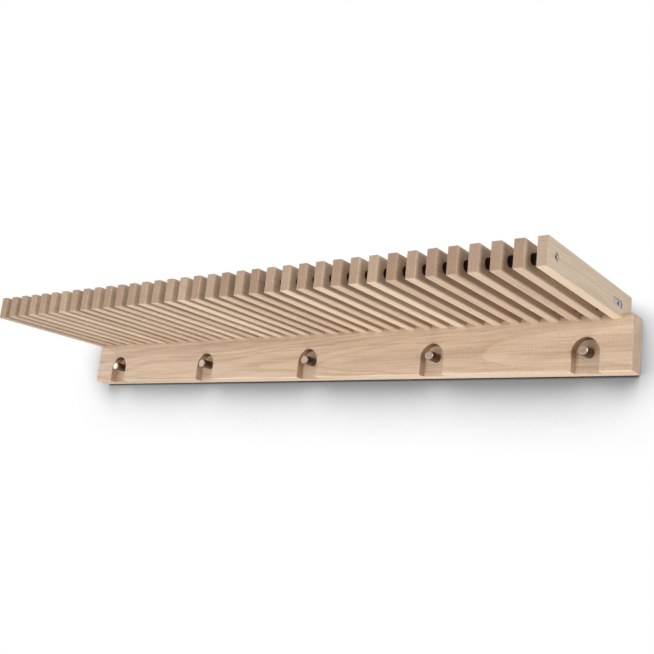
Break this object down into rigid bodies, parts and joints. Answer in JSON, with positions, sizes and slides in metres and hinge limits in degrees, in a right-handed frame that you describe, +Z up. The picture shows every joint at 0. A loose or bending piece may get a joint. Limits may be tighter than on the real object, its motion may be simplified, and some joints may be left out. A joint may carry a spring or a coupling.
{
  "type": "wall coat rail with slatted hat shelf",
  "caption": "Wall-hung oak coat rail with round steel pegs in arched recesses, carrying an open hat shelf of slats on edge held by tie rods.",
  "frame": {"origin": "middle of the rail's flat back face, on the wall plane, at half the rail's height", "axes": "+X along the wall to the right as seen from the room, +Y into the wall, +Z up; the room is on the -Y side"},
  "size_m": [1, 0.25, 0.1],
  "materials": {
    "oak_rail": "pale oiled oak, satin, long grain along the rail",
    "oak_slats": "pale oiled oak, satin, grain along each slat",
    "steel": "fine brushed stainless steel",
    "black_spacers": "matt black moulded tube",
    "screws": "zinc plated steel",
    "dowels": "plain beech"
  },
  "bodies": {
    "root": {"rail": "oak_rail", "slat_01": "oak_slats", "slat_02": "oak_slats", "slat_03": "oak_slats", "slat_04": "oak_slats", "slat_05": "oak_slats", "slat_06": "oak_slats", "slat_07": "oak_slats", "slat_08": "oak_slats", "slat_09": "oak_slats", "slat_10": "oak_slats", "slat_11": "oak_slats", "slat_12": "oak_slats", "slat_13": "oak_slats", "slat_14": "oak_slats", "slat_15": "oak_slats", "slat_16": "oak_slats", "slat_17": "oak_slats", "slat_18": "oak_slats", "slat_19": "oak_slats", "slat_20": "oak_slats", "slat_21": "oak_slats", "slat_22": "oak_slats", "slat_23": "oak_slats", "slat_24": "oak_slats", "slat_25": "oak_slats", "slat_26": "oak_slats", "slat_27": "oak_slats", "slat_28": "oak_slats", "slat_29": "oak_slats", "slat_30": "oak_slats", "slat_31": "oak_slats", "slat_32": "oak_slats", "slat_33": "oak_slats", "slat_34": "oak_slats", "slat_35": "oak_slats", "slat_36": "oak_slats", "slat_37": "oak_slats", "front_rod": "steel", "front_spacers": "black_spacers", "front_nuts": "steel", "rear_rod": "steel", "rear_spacers": "black_spacers", "rear_nuts": "steel", "peg_1": "steel", "peg_2": "steel", "peg_3": "steel", "peg_4": "steel", "peg_5": "steel", "peg_screws": "screws", "slat_dowels": "dowels"}
  },
  "joints": []
}
